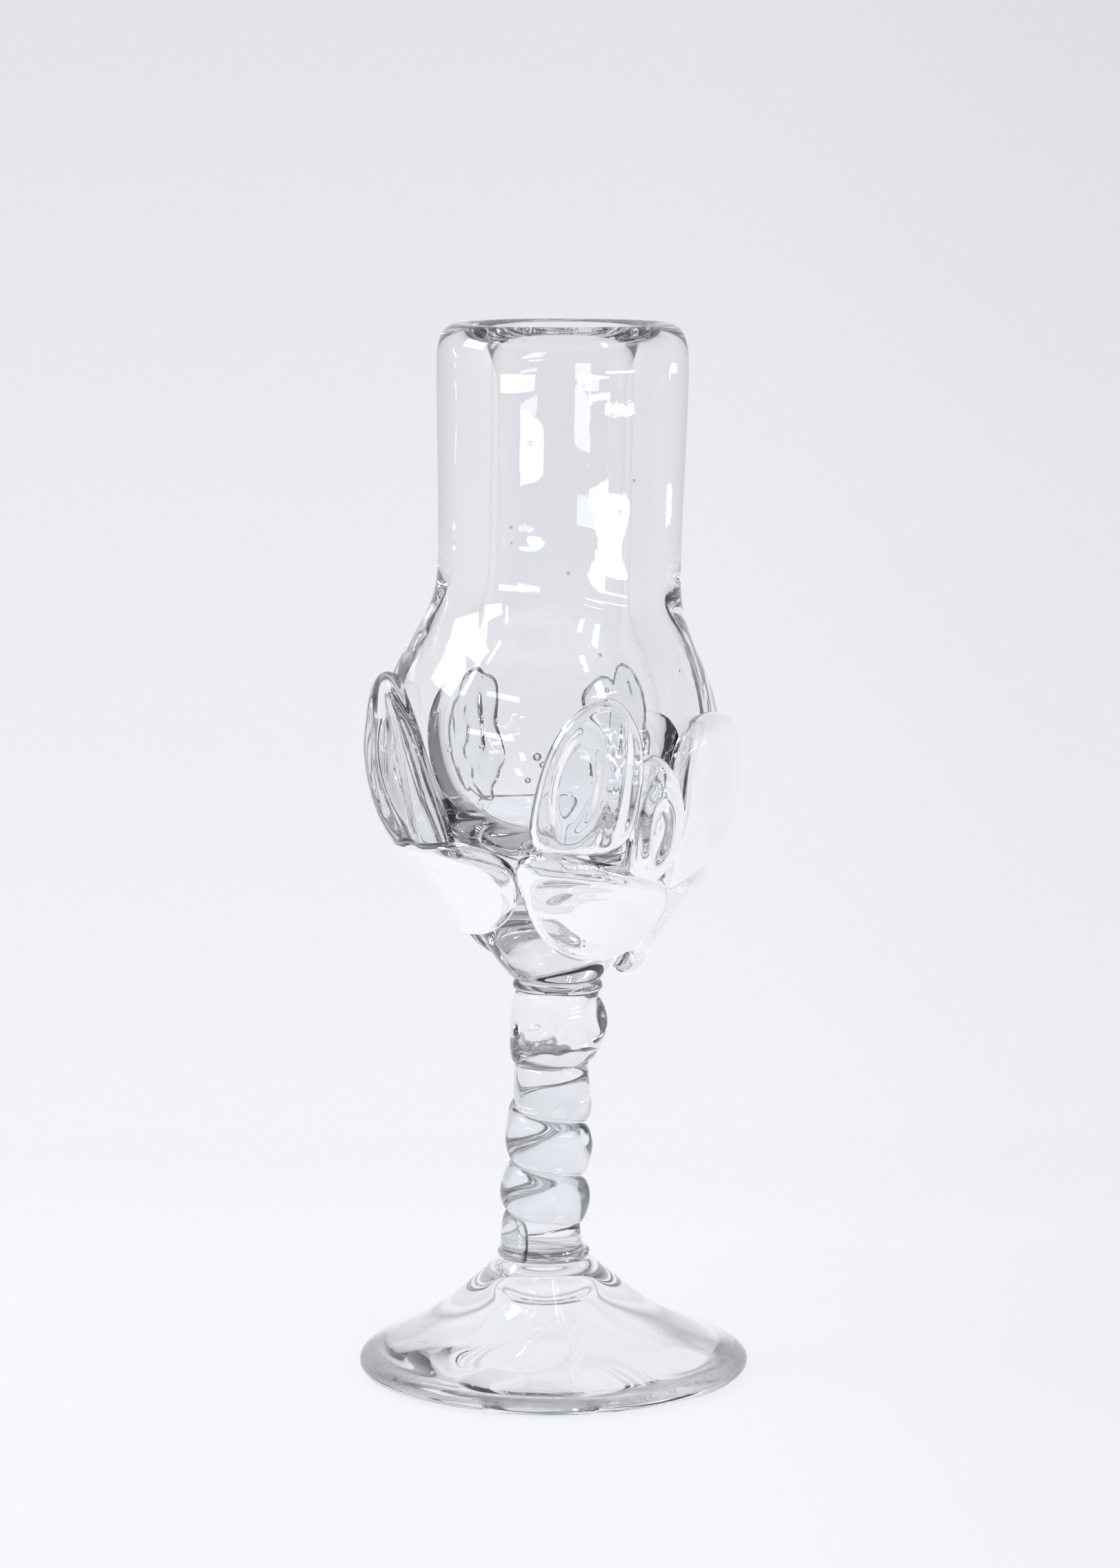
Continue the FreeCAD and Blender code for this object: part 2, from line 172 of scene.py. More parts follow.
# Bubbles in the cup's wall, as (turn, level, distance from the axis, radius).
BUBBLES = (
    (-5.5, 146.7, 34.6, 1.0), (-3.6, 145.0, 34.2, 0.8), (-9, 141.6, 33.4, 0.7), (20, 168, 29.5, 0.45),
    (-22, 196, 22.5, 0.4), (8, 186, 23.4, 0.35), (47, 206, 22, 0.4), (-140, 190, 22, 0.4),
    (150, 150, 33, 0.8), (-70, 152, 33, 0.6), (96, 160, 30, 0.5), (-12, 113, 14, 0.7),
)

# The cup's second, finer waver, as shares of the first one's depth and size, and the height over which a
# waver dies out. The foot's waver is a share of the cup's.
FINE_DEPTH, FINE_SIZE = 0.35, 0.4
CALM_OVER = 10 * MM
FOOT_WAVER, FOOT_WAVER_SIZE = 0.9, 20 * MM
KNOP_WAVER, KNOP_WAVER_SIZE = 1.1 * MM, 12 * MM
COLLAR_WAVER, COLLAR_WAVER_SIZE = 0.5 * MM, 9 * MM

# The gather wound round the stem's rod, in millimetres and degrees: how far it sinks into the rod, how its
# turns lie, close up and tilt, and how much its ends shrink. Rod and gather swell together, in the same way.
ROD_RADIUS = 7.8
WRAP_SINK = 0.35
WRAP_PITCH = 13.6
WRAP_TURNS = 3.1
WRAP_TOP = 68.4
WRAP_TURN = -150
WRAP_CLOSING = 0.0024
WRAP_TILT = 1.0
WRAP_END = 0.45
WRAP_STEPS = 48
STEM_LUMPS, LUMP_SIZE = 0.7, 9
LUMP_SEED = 31


class GobletShape(bpy.types.PropertyGroup):
    """Sizes of the hand work on top of the turned shapes."""

    waver: bpy.props.FloatProperty(
        name="Waver", description="How far the blown surfaces wander from true", default=0.35 * MM, min=0,
        subtype="DISTANCE", unit="LENGTH",
    )
    waver_size: bpy.props.FloatProperty(
        name="Waver size", description="Distance from one soft wave of the surface to the next",
        default=26 * MM, min=MM, subtype="DISTANCE", unit="LENGTH",
    )
    wrap_thickness: bpy.props.FloatProperty(
        name="Wrap thickness", description="How far the gather wound round the stem stands off the rod",
        default=2.3 * MM, min=MM, subtype="DISTANCE", unit="LENGTH",
    )
    wrap_width: bpy.props.FloatProperty(
        name="Wrap width", description="Width of the gather wound round the stem", default=13.4 * MM, min=MM,
        subtype="DISTANCE", unit="LENGTH",
    )


class GlassFinish(bpy.types.PropertyGroup):
    """Colour and surface of the glass."""

    tint: bpy.props.FloatVectorProperty(
        name="Tint", description="Colour of the glass", default=(0.98, 0.985, 0.989),
        subtype="COLOR", min=0, max=1,
    )
    tint_deep: bpy.props.FloatVectorProperty(
        name="Streak tint", description="Colour of the faint streaks in the glass",
        default=(0.962, 0.972, 0.98), subtype="COLOR", min=0, max=1,
    )
    ripple: bpy.props.FloatProperty(
        name="Ripple", description="Depth of the fine ripples left by blowing", default=0.06 * MM, min=0,
        subtype="DISTANCE", unit="LENGTH",
    )
    bend: bpy.props.FloatProperty(
        name="Refraction", description="How strongly the glass bends light", default=1.5, min=1, max=2
    )


class StageLook(bpy.types.PropertyGroup):
    """The table, the wall behind it and the lamps."""

    wall_distance: bpy.props.FloatProperty(
        name="Wall distance", description="From the middle of the foot to the wall", default=0.125, min=0.05,
        subtype="DISTANCE", unit="LENGTH",
    )
    window: bpy.props.FloatProperty(
        name="Windows", description="Brightness of the window panes", default=7.0, min=0
    )
    room: bpy.props.FloatProperty(
        name="Room", description="Brightness of the room's soft light", default=0.98, min=0
    )
    glow: bpy.props.FloatProperty(
        name="Floor glow", description="Share of the floor that shows its colour without shadow",
        default=0.8, min=0, max=1,
    )
    # Painted shade: shares of the stage's colour left for rays after turns inside the glass.
    painted_shade_per_turn: bpy.props.FloatProperty(
        name="Dim room", description="Share of the room's light left by each turn inside the glass",
        default=0.16, min=0, max=1,
    )
    keep: bpy.props.FloatProperty(
        name="Kept light", description="Share of light left by the second turn inside the glass",
        default=0.5, min=0, max=1,
    )


def read(table, at):
    """The value at a place in a table of (place, value), along a smooth curve through its points."""
    last = len(table) - 1
    i = max(0, min(last - 1, sum(1 for place, _ in table if place <= at) - 1))
    (x0, y0), (x1, y1) = table[i], table[i + 1]
    before, after = table[max(0, i - 1)], table[min(last, i + 2)]
    slope0 = (y1 - before[1]) / (x1 - before[0])
    slope1 = (after[1] - y0) / (after[0] - x0)
    t = max(0.0, min(1.0, (at - x0) / (x1 - x0)))
    span = x1 - x0
    return (
        (2 * t**3 - 3 * t**2 + 1) * y0 + (t**3 - 2 * t**2 + t) * span * slope0
        + (3 * t**2 - 2 * t**3) * y1 + (t**3 - t**2) * span * slope1
    )


def ease(low, high, at):
    """Rises smoothly from 0 at low to 1 at high."""
    t = max(0.0, min(1.0, (at - low) / (high - low)))
    return t * t * (3 - 2 * t)


def shape():
    return bpy.context.scene.goblet_shape


def spun(outline, steps=48):
    """A bmesh turned from a half outline in millimetres round the vertical axis, in metres."""
    bm = bmesh.new()
    points = [bm.verts.new((r * MM, 0, z * MM)) for r, z in outline]
    edges = [bm.edges.new(pair) for pair in zip(points, points[1:])]
    bmesh.ops.spin(
        bm, geom=points + edges, cent=(0, 0, 0), axis=(0, 0, 1), angle=2 * math.pi, steps=steps,
        use_merge=True,
    )
    bmesh.ops.remove_doubles(bm, verts=bm.verts, dist=1e-6)
    bmesh.ops.recalc_face_normals(bm, faces=bm.faces)
    return bm


def finer(outline, parts):
    """The same outline with more points along a smooth curve through its points."""
    last = len(outline) - 1
    by_radius = [(i, r) for i, (r, z) in enumerate(outline)]
    by_level = [(i, z) for i, (r, z) in enumerate(outline)]
    places = [i / parts for i in range(last * parts + 1)]
    return [(max(0, read(by_radius, at)), read(by_level, at)) for at in places]


def waver(bm, amount, size, seed, calm=None):
    """Moves the surface in and out in soft waves, which die out towards the level of calm if there is one."""
    bm.normal_update()
    place = Vector((seed * 7.3, seed * 3.1, seed * 1.7))
    moves = [(v, v.normal.copy() * amount * noise.noise(v.co / size + place)) for v in bm.verts]
    for v, move in moves:
        v.co += move * (1 - ease(calm - CALM_OVER, calm, v.co.z) if calm else 1)


def swell(bm, amount, size, seed):
    """Moves every point out from the axis or in, in lumps that depend on its turn and level alone."""
    for v in bm.verts:
        out = Vector((v.co.x, v.co.y, 0))
        if out.length > 1e-6:
            out.normalize()
            v.co += out * amount * noise.noise(Vector((out.x, out.y, v.co.z / size + seed)))


def drift(bm, table):
    """Leans each level to the side that the table gives."""
    for v in bm.verts:
        v.co.x += read(table, v.co.z / MM) * MM


def press(bm, centre, depth, reach):
    """Dents the surface round a point, or raises it if depth is negative."""
    bm.normal_update()
    for v in bm.verts:
        near = (v.co - centre).length / reach
        if near < 1:
            v.co -= v.normal * depth * (1 - near * near) ** 2


def finished(bm, name, material, nodes, levels=2):
    """Makes the piece's object, smooth and subdivided, and parents it to the root body."""
    mesh = bpy.data.meshes.new(name)
    bm.to_mesh(mesh)
    bm.free()
    for face in mesh.polygons:
        face.use_smooth = True
    mesh.materials.append(material)
    piece = bpy.data.objects.new(name, mesh)
    bpy.context.scene.collection.objects.link(piece)
    smooth = piece.modifiers.new("Fire polish", "SUBSURF")
    smooth.levels = smooth.render_levels = levels
    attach(piece, "root")
    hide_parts(*nodes)
    return piece


# Materials


def new_group(name, inputs, outputs):
    group = bpy.data.node_groups.new(name, "ShaderNodeTree")
    for label, kind, default in inputs:
        socket = group.interface.new_socket(name=label, in_out="INPUT", socket_type=kind)
        socket.default_value = default
    for label, kind in outputs:
        group.interface.new_socket(name=label, in_out="OUTPUT", socket_type=kind)
    return group, group.nodes.new("NodeGroupInput"), group.nodes.new("NodeGroupOutput")


def node(tree, kind, **settings):
    made = tree.nodes.new(kind)
    for key, value in settings.items():
        if key in made.inputs:
            made.inputs[key].default_value = value
        else:
            setattr(made, key, value)
    return made


def maths(tree, operation, *sources):
    """A Math node fed by sockets or numbers."""
    made = node(tree, "ShaderNodeMath", operation=operation)
    for socket, source in zip(made.inputs, sources):
        if isinstance(source, (int, float)):
            socket.default_value = source
        else:
            tree.links.new(source, socket)
    return made.outputs[0]


def ranged(tree, source, start, end, at_start=0.0, at_end=1.0, smooth=True):
    """A value carried from one range to another, softly or in a straight line, and held at both ends."""
    made = node(tree, "ShaderNodeMapRange", interpolation_type="SMOOTHSTEP" if smooth else "LINEAR")
    for label, value in (("From Min", start), ("From Max", end), ("To Min", at_start), ("To Max", at_end)):
        made.inputs[label].default_value = value
    tree.links.new(source, made.inputs["Value"])
    return made.outputs[0]


# Cords are CORD_FINENESS times finer than the waves and fade in over CORD_PATCH of the waves' height. A seed
# fades in over SEED_DOT, towards the middle of a cell, in the few cells whose colour is above SEED_RARE.
CORD_FINENESS = 7.0
CORD_PATCH = (0.5, 0.72)
SEED_CELLS = 260.0
SEED_DOT = (0.16, 0.05)
SEED_RARE = 0.86
# The worn ring under the foot: the heights between which the wear grows, its grain and its strongest haze.
WORN_LEVELS = (0.6 * MM, 0.1 * MM)
WORN_GRAIN = 900.0
WORN_HAZE = 0.45


def ripple_group():
    """Soft ripples, fine cords and pin-head seeds, as one height."""
    found = bpy.data.node_groups.get("Blown ripple")
    if found:
        return found
    group, given, out = new_group(
        "Blown ripple",
        [
            ("Size", "NodeSocketFloat", 40.0), ("Stretch", "NodeSocketFloat", 0.35),
            ("Cords", "NodeSocketFloat", 0.3), ("Seeds", "NodeSocketFloat", 0.3),
        ],
        [("Height", "NodeSocketFloat")],
    )
    link = group.links.new
    where = node(group, "ShaderNodeTexCoord")
    squash = node(group, "ShaderNodeCombineXYZ", X=1.0, Y=1.0)
    link(given.outputs["Stretch"], squash.inputs["Z"])
    stretched = node(group, "ShaderNodeVectorMath", operation="MULTIPLY")
    link(where.outputs["Object"], stretched.inputs[0])
    link(squash.outputs[0], stretched.inputs[1])
    waves = node(group, "ShaderNodeTexNoise", Detail=2.0, Roughness=0.45, Distortion=0.6)
    link(stretched.outputs[0], waves.inputs["Vector"])
    link(given.outputs["Size"], waves.inputs["Scale"])
    cords = node(group, "ShaderNodeTexNoise", Detail=1.0, Roughness=0.4, Distortion=2.4)
    link(stretched.outputs[0], cords.inputs["Vector"])
    link(maths(group, "MULTIPLY", given.outputs["Size"], CORD_FINENESS), cords.inputs["Scale"])
    patch = ranged(group, waves.outputs["Fac"], *CORD_PATCH)
    cord_height = maths(
        group, "MULTIPLY", maths(group, "MULTIPLY", cords.outputs["Fac"], patch), given.outputs["Cords"]
    )
    cells = node(group, "ShaderNodeTexVoronoi", Randomness=1.0, Scale=SEED_CELLS)
    link(where.outputs["Object"], cells.inputs["Vector"])
    dot = ranged(group, cells.outputs["Distance"], *SEED_DOT)
    split = node(group, "ShaderNodeSeparateColor")
    link(cells.outputs["Color"], split.inputs[0])
    seeds = maths(group, "MULTIPLY", dot, maths(group, "GREATER_THAN", split.outputs[0], SEED_RARE))
    seed_height = maths(group, "MULTIPLY", seeds, given.outputs["Seeds"])
    total = maths(group, "ADD", maths(group, "ADD", waves.outputs["Fac"], cord_height), seed_height)
    link(total, out.inputs["Height"])
    return group


def tint_group():
    """Faint streaks of a deeper tint, and the haze of wear on the ring that the foot rests on."""
    found = bpy.data.node_groups.get("Glass tint")
    if found:
        return found
    group, given, out = new_group(
        "Glass tint",
        [
            ("Clear", "NodeSocketColor", (1, 1, 1, 1)), ("Streak", "NodeSocketColor", (1, 1, 1, 1)),
            ("Streaks", "NodeSocketFloat", 14.0),
        ],
        [("Color", "NodeSocketColor"), ("Haze", "NodeSocketFloat")],
    )
    link = group.links.new
    where = node(group, "ShaderNodeTexCoord")
    streaks = node(group, "ShaderNodeTexNoise", Detail=3.0, Roughness=0.5, Distortion=1.2)
    link(where.outputs["Object"], streaks.inputs["Vector"])
    link(given.outputs["Streaks"], streaks.inputs["Scale"])
    mix = node(group, "ShaderNodeMix", data_type="RGBA")
    link(streaks.outputs["Fac"], mix.inputs["Factor"])
    link(given.outputs["Clear"], mix.inputs[6])
    link(given.outputs["Streak"], mix.inputs[7])
    link(mix.outputs[2], out.inputs["Color"])
    split = node(group, "ShaderNodeSeparateXYZ")
    link(where.outputs["Object"], split.inputs[0])
    low = ranged(group, split.outputs["Z"], *WORN_LEVELS, smooth=False)
    scratches = node(group, "ShaderNodeTexNoise", Scale=WORN_GRAIN, Detail=2.0)
    link(where.outputs["Object"], scratches.inputs["Vector"])
    worn = maths(group, "MULTIPLY", low, scratches.outputs["Fac"])
    link(maths(group, "MULTIPLY", worn, WORN_HAZE), out.inputs["Haze"])
    return group


def glass(name, size, stretch, cords, seeds, depth):
    """Clear glass whose surface ripples by the given sizes."""
    found = bpy.data.materials.get(name)
    if found:
        return found
    finish = bpy.context.scene.glass_finish
    material = bpy.data.materials.new(name)
    material.use_nodes = True
    tree = material.node_tree
    shader = tree.nodes["Principled BSDF"]
    shader.inputs["Metallic"].default_value = 0.0
    shader.inputs["Transmission Weight"].default_value = 1.0
    shader.inputs["IOR"].default_value = finish.bend
    tint = node(tree, "ShaderNodeGroup", node_tree=tint_group())
    tint.inputs["Clear"].default_value = (*finish.tint, 1)
    tint.inputs["Streak"].default_value = (*finish.tint_deep, 1)
    tree.links.new(tint.outputs["Color"], shader.inputs["Base Color"])
    tree.links.new(tint.outputs["Haze"], shader.inputs["Roughness"])
    ripple = node(tree, "ShaderNodeGroup", node_tree=ripple_group())
    for label, value in (("Size", size), ("Stretch", stretch), ("Cords", cords), ("Seeds", seeds)):
        ripple.inputs[label].default_value = value
    bump = node(tree, "ShaderNodeBump", Strength=1.0, Distance=finish.ripple * depth)
    tree.links.new(ripple.outputs["Height"], bump.inputs["Height"])
    tree.links.new(bump.outputs["Normal"], shader.inputs["Normal"])
    return material


def blown_glass():
    return glass("Blown glass", size=45, stretch=0.35, cords=0.9, seeds=1.2, depth=0.3)


def leaf_glass():
    return glass("Leaf glass", size=60, stretch=0.8, cords=0.0, seeds=0.25, depth=1.0)


def stem_glass():
    return glass("Twisted glass", size=70, stretch=1.6, cords=0.05, seeds=0.3, depth=1.2)


def foot_glass():
    return glass("Foot glass", size=40, stretch=1.0, cords=0.05, seeds=0.4, depth=1.8)


# Pieces


class GOBLET_OT_cup(bpy.types.Operator):
    """Turns the thick cup: bulb, neck, rounded lip, bore and cavity, with a few bubbles in the wall"""

    bl_idname = "goblet.cup"
    bl_label = "Cup"

    def execute(self, context):
        sizes = shape()
        outline = [(r, z + CUP_BASE) for r, z in CUP_OUTSIDE + LIP_ROUND + CUP_INSIDE]
        bm = spun(outline, 56)
        waver(bm, sizes.waver, sizes.waver_size, 1, calm=NECK_FROM * MM)
        waver(bm, sizes.waver * FINE_DEPTH, sizes.waver_size * FINE_SIZE, 2, calm=NECK_FROM * MM)
        for v in bm.verts:
            v.co.z = min(v.co.z, CUP_HIGH.z)
        drift(bm, CUP_DRIFT)
        for turn, level, radius, size in BUBBLES:
            around = math.radians(turn)
            spot = Vector((math.sin(around) * radius, -math.cos(around) * radius, level)) * MM
            made = bmesh.ops.create_icosphere(
                bm, subdivisions=2, radius=size * MM, matrix=Matrix.Translation(spot)
            )
            faces = {face for v in made["verts"] for face in v.link_faces}
            bmesh.ops.reverse_faces(bm, faces=list(faces))
        finished(bm, "cup_blown", blown_glass(), ["cup"])
        return {"FINISHED"}


def skin_radius(level):
    """Radius of the cup's outside, in millimetres, at a level in millimetres."""
    return read(BULB_SKIN, level)


def laid_leaf(
    seed, turn, low, high, spread, narrow, powers, bulge, curl, hollow, ridge,
    lean=0, drop=0, rings=0, folds=0, soft=0.5, taper=0, rough=0,
):
    """A leaf of hot glass laid on the cup: a ball pressed flat on its skin, squared, dished and curled."""
    bm = bmesh.new()
    bmesh.ops.create_uvsphere(bm, u_segments=88, v_segments=56, radius=1)
    level, reach = (low + high) / 2, (high - low) / 2
    dish_across, dish_along, dish_wide, dish_tall, dish_share = hollow
    for v in bm.verts:
        across, along, out = v.co
        edge = math.hypot(across, along)
        fit = 1.0
        if edge > 1e-6:
            power = powers[0] if along < 0 else powers[1]
            fit = (abs(across / edge) ** power + abs(along / edge) ** power) ** (-1 / power)
        angle = math.atan2(along, across)
        wander = 1 + (0.04 + 0.4 * rough) * noise.noise(
            Vector((math.cos(angle), math.sin(angle), 0)) * (1.3 + rough) + Vector((0, 0, seed * 2.7))
        )
        across *= fit * wander * (1 - narrow * along)
        along *= fit * wander * (1 - taper * across)
        here = level + along * reach - drop * across
        around = math.radians(turn + across * spread + along * lean)
        skin = skin_radius(here)
        slope = (skin_radius(here + 1.5) - skin_radius(here - 1.5)) / 3
        if out > 0:
            from_dish = math.hypot((across - dish_across) / dish_wide, (along - dish_along) / dish_tall)
            lift = bulge * out**soft * (1 - dish_share * (1 - ease(0.7, 1.2, from_dish)))
            lift += ridge * math.exp(-(((edge - RIDGE_AT) / RIDGE_WIDE) ** 2)) * out**0.4
            lift += rings * math.sin(edge * RING_RATE) * out**0.5
            lift += folds * math.sin(across * FOLD_RATE + along * 1.5) * ease(0.05, 0.4, across) * out**0.5
            lumps = noise.noise(Vector((across, along, seed * 3)) * (1.8 + 1.6 * rough))
            lift += (0.15 + 2.4 * rough) * lumps * out**0.5
        else:
            lift = -LEAF_SINK * min(1.0, 4 * abs(out)) ** 0.5
        lift += curl * ease(0.3, 1.1, along) ** 1.5
        direction = Vector((math.sin(around), -math.cos(around), -slope)).normalized()
        base = Vector((math.sin(around) * skin + read(CUP_DRIFT, here), -math.cos(around) * skin, here))
        v.co = (base + direction * lift) * MM
    bmesh.ops.recalc_face_normals(bm, faces=bm.faces)
    return bm


class GOBLET_OT_petals(bpy.types.Operator):
    """Lays the upper tier of petals round the bulb"""

    bl_idname = "goblet.petals"
    bl_label = "Petals"

    def execute(self, context):
        for seed, (name, how) in enumerate(PETALS.items(), 1):
            bm = laid_leaf(seed, **how)
            finished(bm, name + "_laid", leaf_glass(), [name], levels=1)
        return {"FINISHED"}


class GOBLET_OT_sepals(bpy.types.Operator):
    """Lays the lower tier of broad sepals round the base of the bulb"""

    bl_idname = "goblet.sepals"
    bl_label = "Sepals"

    def execute(self, context):
        for seed, (name, how) in enumerate(SEPALS.items(), 11):
            bm = laid_leaf(seed, narrow=SEPAL_NARROW, ridge=SEPAL_RIDGE, **how)
            finished(bm, name + "_laid", leaf_glass(), [name], levels=1)
        return {"FINISHED"}


class GOBLET_OT_stem(bpy.types.Operator):
    """Makes the stem: a solid rod, the gather wound round it, the knop and both collars"""

    bl_idname = "goblet.stem"
    bl_label = "Stem"

    def execute(self, context):
        sizes = shape()
        bm = spun(ROD_OUTLINE, 40)
        swell(bm, STEM_LUMPS * MM, LUMP_SIZE * MM, LUMP_SEED)
        drift(bm, STEM_DRIFT)
        finished(bm, "stem_rod_drawn", stem_glass(), ["stem_rod"])
        self.wrap(sizes)
        self.knop()
        for name, (low, high), radius in (
            ("lower_collar", LOWER_COLLAR, 10.9), ("upper_collar", UPPER_COLLAR, 10.6),
        ):
            bottom, top = low.z / MM, high.z / MM
            outline = [
                (0, bottom - 0.4), (radius - 2.6, bottom - 0.4), (radius - 0.6, bottom + 0.2),
                (radius, (bottom + top) / 2),
                (radius - 0.6, top - 0.2), (radius - 2.6, top + 0.4), (0, top + 0.4),
            ]
            bm = spun(outline, 40)
            waver(bm, COLLAR_WAVER, COLLAR_WAVER_SIZE, 41)
            drift(bm, STEM_DRIFT)
            finished(bm, name + "_pressed", stem_glass(), [name])
        return {"FINISHED"}

    def wrap(self, sizes):
        """A broad gather wound down the rod, flat inside, arched outside and closed at both ends."""
        bm = bmesh.new()
        ring = bmesh.ops.create_circle(
            bm, segments=32, radius=1, cap_ends=False,
            matrix=Matrix.Translation((ROD_RADIUS * MM, 0, 0))
            @ Matrix.Diagonal((sizes.wrap_thickness, 1, sizes.wrap_width / 2, 1))
            @ Matrix.Rotation(math.pi / 2, 4, "X"),
        )
        for v in ring["verts"]:
            v.co.x = max(v.co.x, (ROD_RADIUS - WRAP_SINK) * MM)
        loop = list({edge for v in ring["verts"] for edge in v.link_edges})
        bmesh.ops.spin(
            bm, geom=ring["verts"] + loop, cent=(0, 0, 0), axis=(0, 0, 1),
            dvec=(0, 0, -(WRAP_PITCH * MM) / WRAP_STEPS),
            angle=2 * math.pi * WRAP_TURNS, steps=round(WRAP_STEPS * WRAP_TURNS), use_merge=False,
        )
        bmesh.ops.holes_fill(bm, edges=[edge for edge in bm.edges if edge.is_boundary], sides=0)
        for face in [f for f in bm.faces if len(f.verts) > 4]:
            middle = face.calc_center_median()
            for v in face.verts:
                v.co = v.co.lerp(middle, WRAP_END)
            bmesh.ops.poke(bm, faces=[face])
        top = WRAP_TOP * MM
        bmesh.ops.translate(bm, verts=bm.verts, vec=(0, 0, top))
        turned = Matrix.Rotation(math.radians(WRAP_TURN), 3, "Z")
        bmesh.ops.rotate(bm, verts=bm.verts, cent=(0, 0, 0), matrix=turned)
        for v in bm.verts:
            # the turns close up towards the foot, and lie flatter across the front
            below = max(0.0, (top - v.co.z) / MM)
            sideways = v.co.x / max(1e-6, math.hypot(v.co.x, v.co.y))
            v.co.z += (WRAP_CLOSING * below * below + WRAP_TILT * sideways) * MM
        bmesh.ops.recalc_face_normals(bm, faces=bm.faces)
        swell(bm, STEM_LUMPS * MM, LUMP_SIZE * MM, LUMP_SEED)
        drift(bm, STEM_DRIFT)
        finished(bm, "stem_trail_wound", stem_glass(), ["stem_trail"])

    def knop(self):
        """The lump at the top of the stem, pinched at the front."""
        bottom, top = KNOP_LOW.z / MM, KNOP_HIGH.z / MM
        outline = [
            (0, bottom - 0.6), (6, bottom - 0.6), (8.9, bottom + 0.2), (10.4, bottom + 2.6),
            (11.4, bottom + 6), (11.7, bottom + 9.4), (11.3, bottom + 12.6),
            (10.4, top - 1), (9.4, top + 0.4), (6, top + 0.8), (0, top + 0.8),
        ]
        bm = spun(finer(outline, 3), 72)
        waver(bm, KNOP_WAVER, KNOP_WAVER_SIZE, 35)
        for turn, level, depth, reach in KNOP_PINCHES:
            around = math.radians(turn)
            spot = Vector((math.sin(around) * KNOP_RADIUS, -math.cos(around) * KNOP_RADIUS, level)) * MM
            press(bm, spot, depth * MM, reach * MM)
        drift(bm, STEM_DRIFT)
        finished(bm, "stem_knop_lump", stem_glass(), ["stem_knop"])


class GOBLET_OT_foot(bpy.types.Operator):
    """Turns the foot: a cone swept out to a rounded rim, kicked up underneath, with the pontil mark"""

    bl_idname = "goblet.foot"
    bl_label = "Foot"

    def execute(self, context):
        sizes = shape()
        bm = spun(FOOT_OUTLINE, 64)
        waver(bm, sizes.waver * FOOT_WAVER, FOOT_WAVER_SIZE, 51)
        for v in bm.verts:
            v.co.z = max(v.co.z, 0)
        drift(bm, STEM_DRIFT)
        finished(bm, "foot_drawn", foot_glass(), ["foot"])
        return {"FINISHED"}


# Stage

# The camera stands in front, tilted down by the dip in degrees. Lens and sensor are in millimetres.
CAMERA_PLACE = (0.00159, -1.0421, 0.2849)
CAMERA_DIP = 8.15
LENS, SENSOR = 106.54, 36

# The sweep: half its width, how far its floor comes forward, its height and the bend between floor and wall.
SWEEP_HALF, SWEEP_FRONT, SWEEP_HEIGHT, SWEEP_BEND = 1.6, 2.4, 1.1, 0.012
WALL_TOP = 0.32
# Painted shade that darkens the wall to the right, between two places, and how uneven the paper's tone is.
RIGHT_SHADE_PLACES, RIGHT_PAINTED_SHADE = (0.02, 0.15), 0.95
PAPER_GRAIN, PAPER_TONES = 900.0, (0.985, 1.015)
# Heights over which the floor gives way to the wall and over which it stops taking shadow, distances over
# which the near floor gives way to the far one, and shares of the way up from below over which the room's
# walls give way to its ceiling.
FLOOR_ENDS = (0.004, 0.06)
SHADE_ENDS = (0.0, 0.03)
NEAR_ENDS = (0.12, 0.26)
CEILING_STARTS = (0.62, 0.85)
# How steeply the painted shade deepens with each further turn inside the glass.
PAINTED_SHADE_FALL_OFF = 2.6
# The sweep's colours from the floor up to the wall's top, with painted shade that darkens the wall upward.
SWEEP_SHADE_COLOURS = [
    (0.0, (250, 251, 255)), (0.02, (248, 249, 253)), (0.07, (244, 245, 249)), (0.3, (240, 241, 245)),
    (0.62, (235, 236, 240)), (1.0, (227, 228, 232)),
]
ROOM_COLOURS = [
    (0.0, (250, 251, 255)), (0.49, (246, 247, 251)), (0.52, (238, 239, 243)), (0.6, (230, 231, 235)),
    (0.8, (214, 215, 219)), (1.0, (200, 201, 205)),
]
# Bright panes mirrored in the cup's skin, as (name, turns, levels, form), and how far off the lamps stand.
GLINTS = (
    ("pane_left", (-29, -12), (221.5, 236.5), "RECTANGLE"),
    ("pane_right_high", (19, 34), (227.5, 232.5), "RECTANGLE"),
    ("pane_right_low", (19, 34), (220.5, 225.5), "RECTANGLE"),
    ("round_window", (14, 34), (189, 199), "ELLIPSE"),
    ("bulb_window", (-49, -34), (156, 173.5), "RECTANGLE"),
    ("bulb_strip", (-31.5, -29.5), (158, 168), "RECTANGLE"),
)
GLINT_AWAY = 0.36
# The window that lights the goblet from the right: where it is, where it faces, and its width and height.
WINDOW_PLACE, WINDOW_AIM, WINDOW_SIZE = (0.75, -0.85, 0.85), (0, 0, 0.15), (0.12, 0.3)

# How many times light may turn in the glass, be mirrored and be scattered.
GLASS_BOUNCES, MIRROR_BOUNCES, SOFT_BOUNCES = 28, 12, 3


def srgb(value):
    value /= 255
    return value / 12.92 if value <= 0.04045 else ((value + 0.055) / 1.055) ** 2.4


def spread_ramp(tree, stops):
    """A colour ramp whose stops are (place, sRGB colour)."""
    ramp = node(tree, "ShaderNodeValToRGB")
    while len(ramp.color_ramp.elements) < len(stops):
        ramp.color_ramp.elements.new(0.5)
    for element, (at, colour) in zip(ramp.color_ramp.elements, stops):
        element.position = at
        element.color = (*[srgb(c) for c in colour], 1)
    return ramp


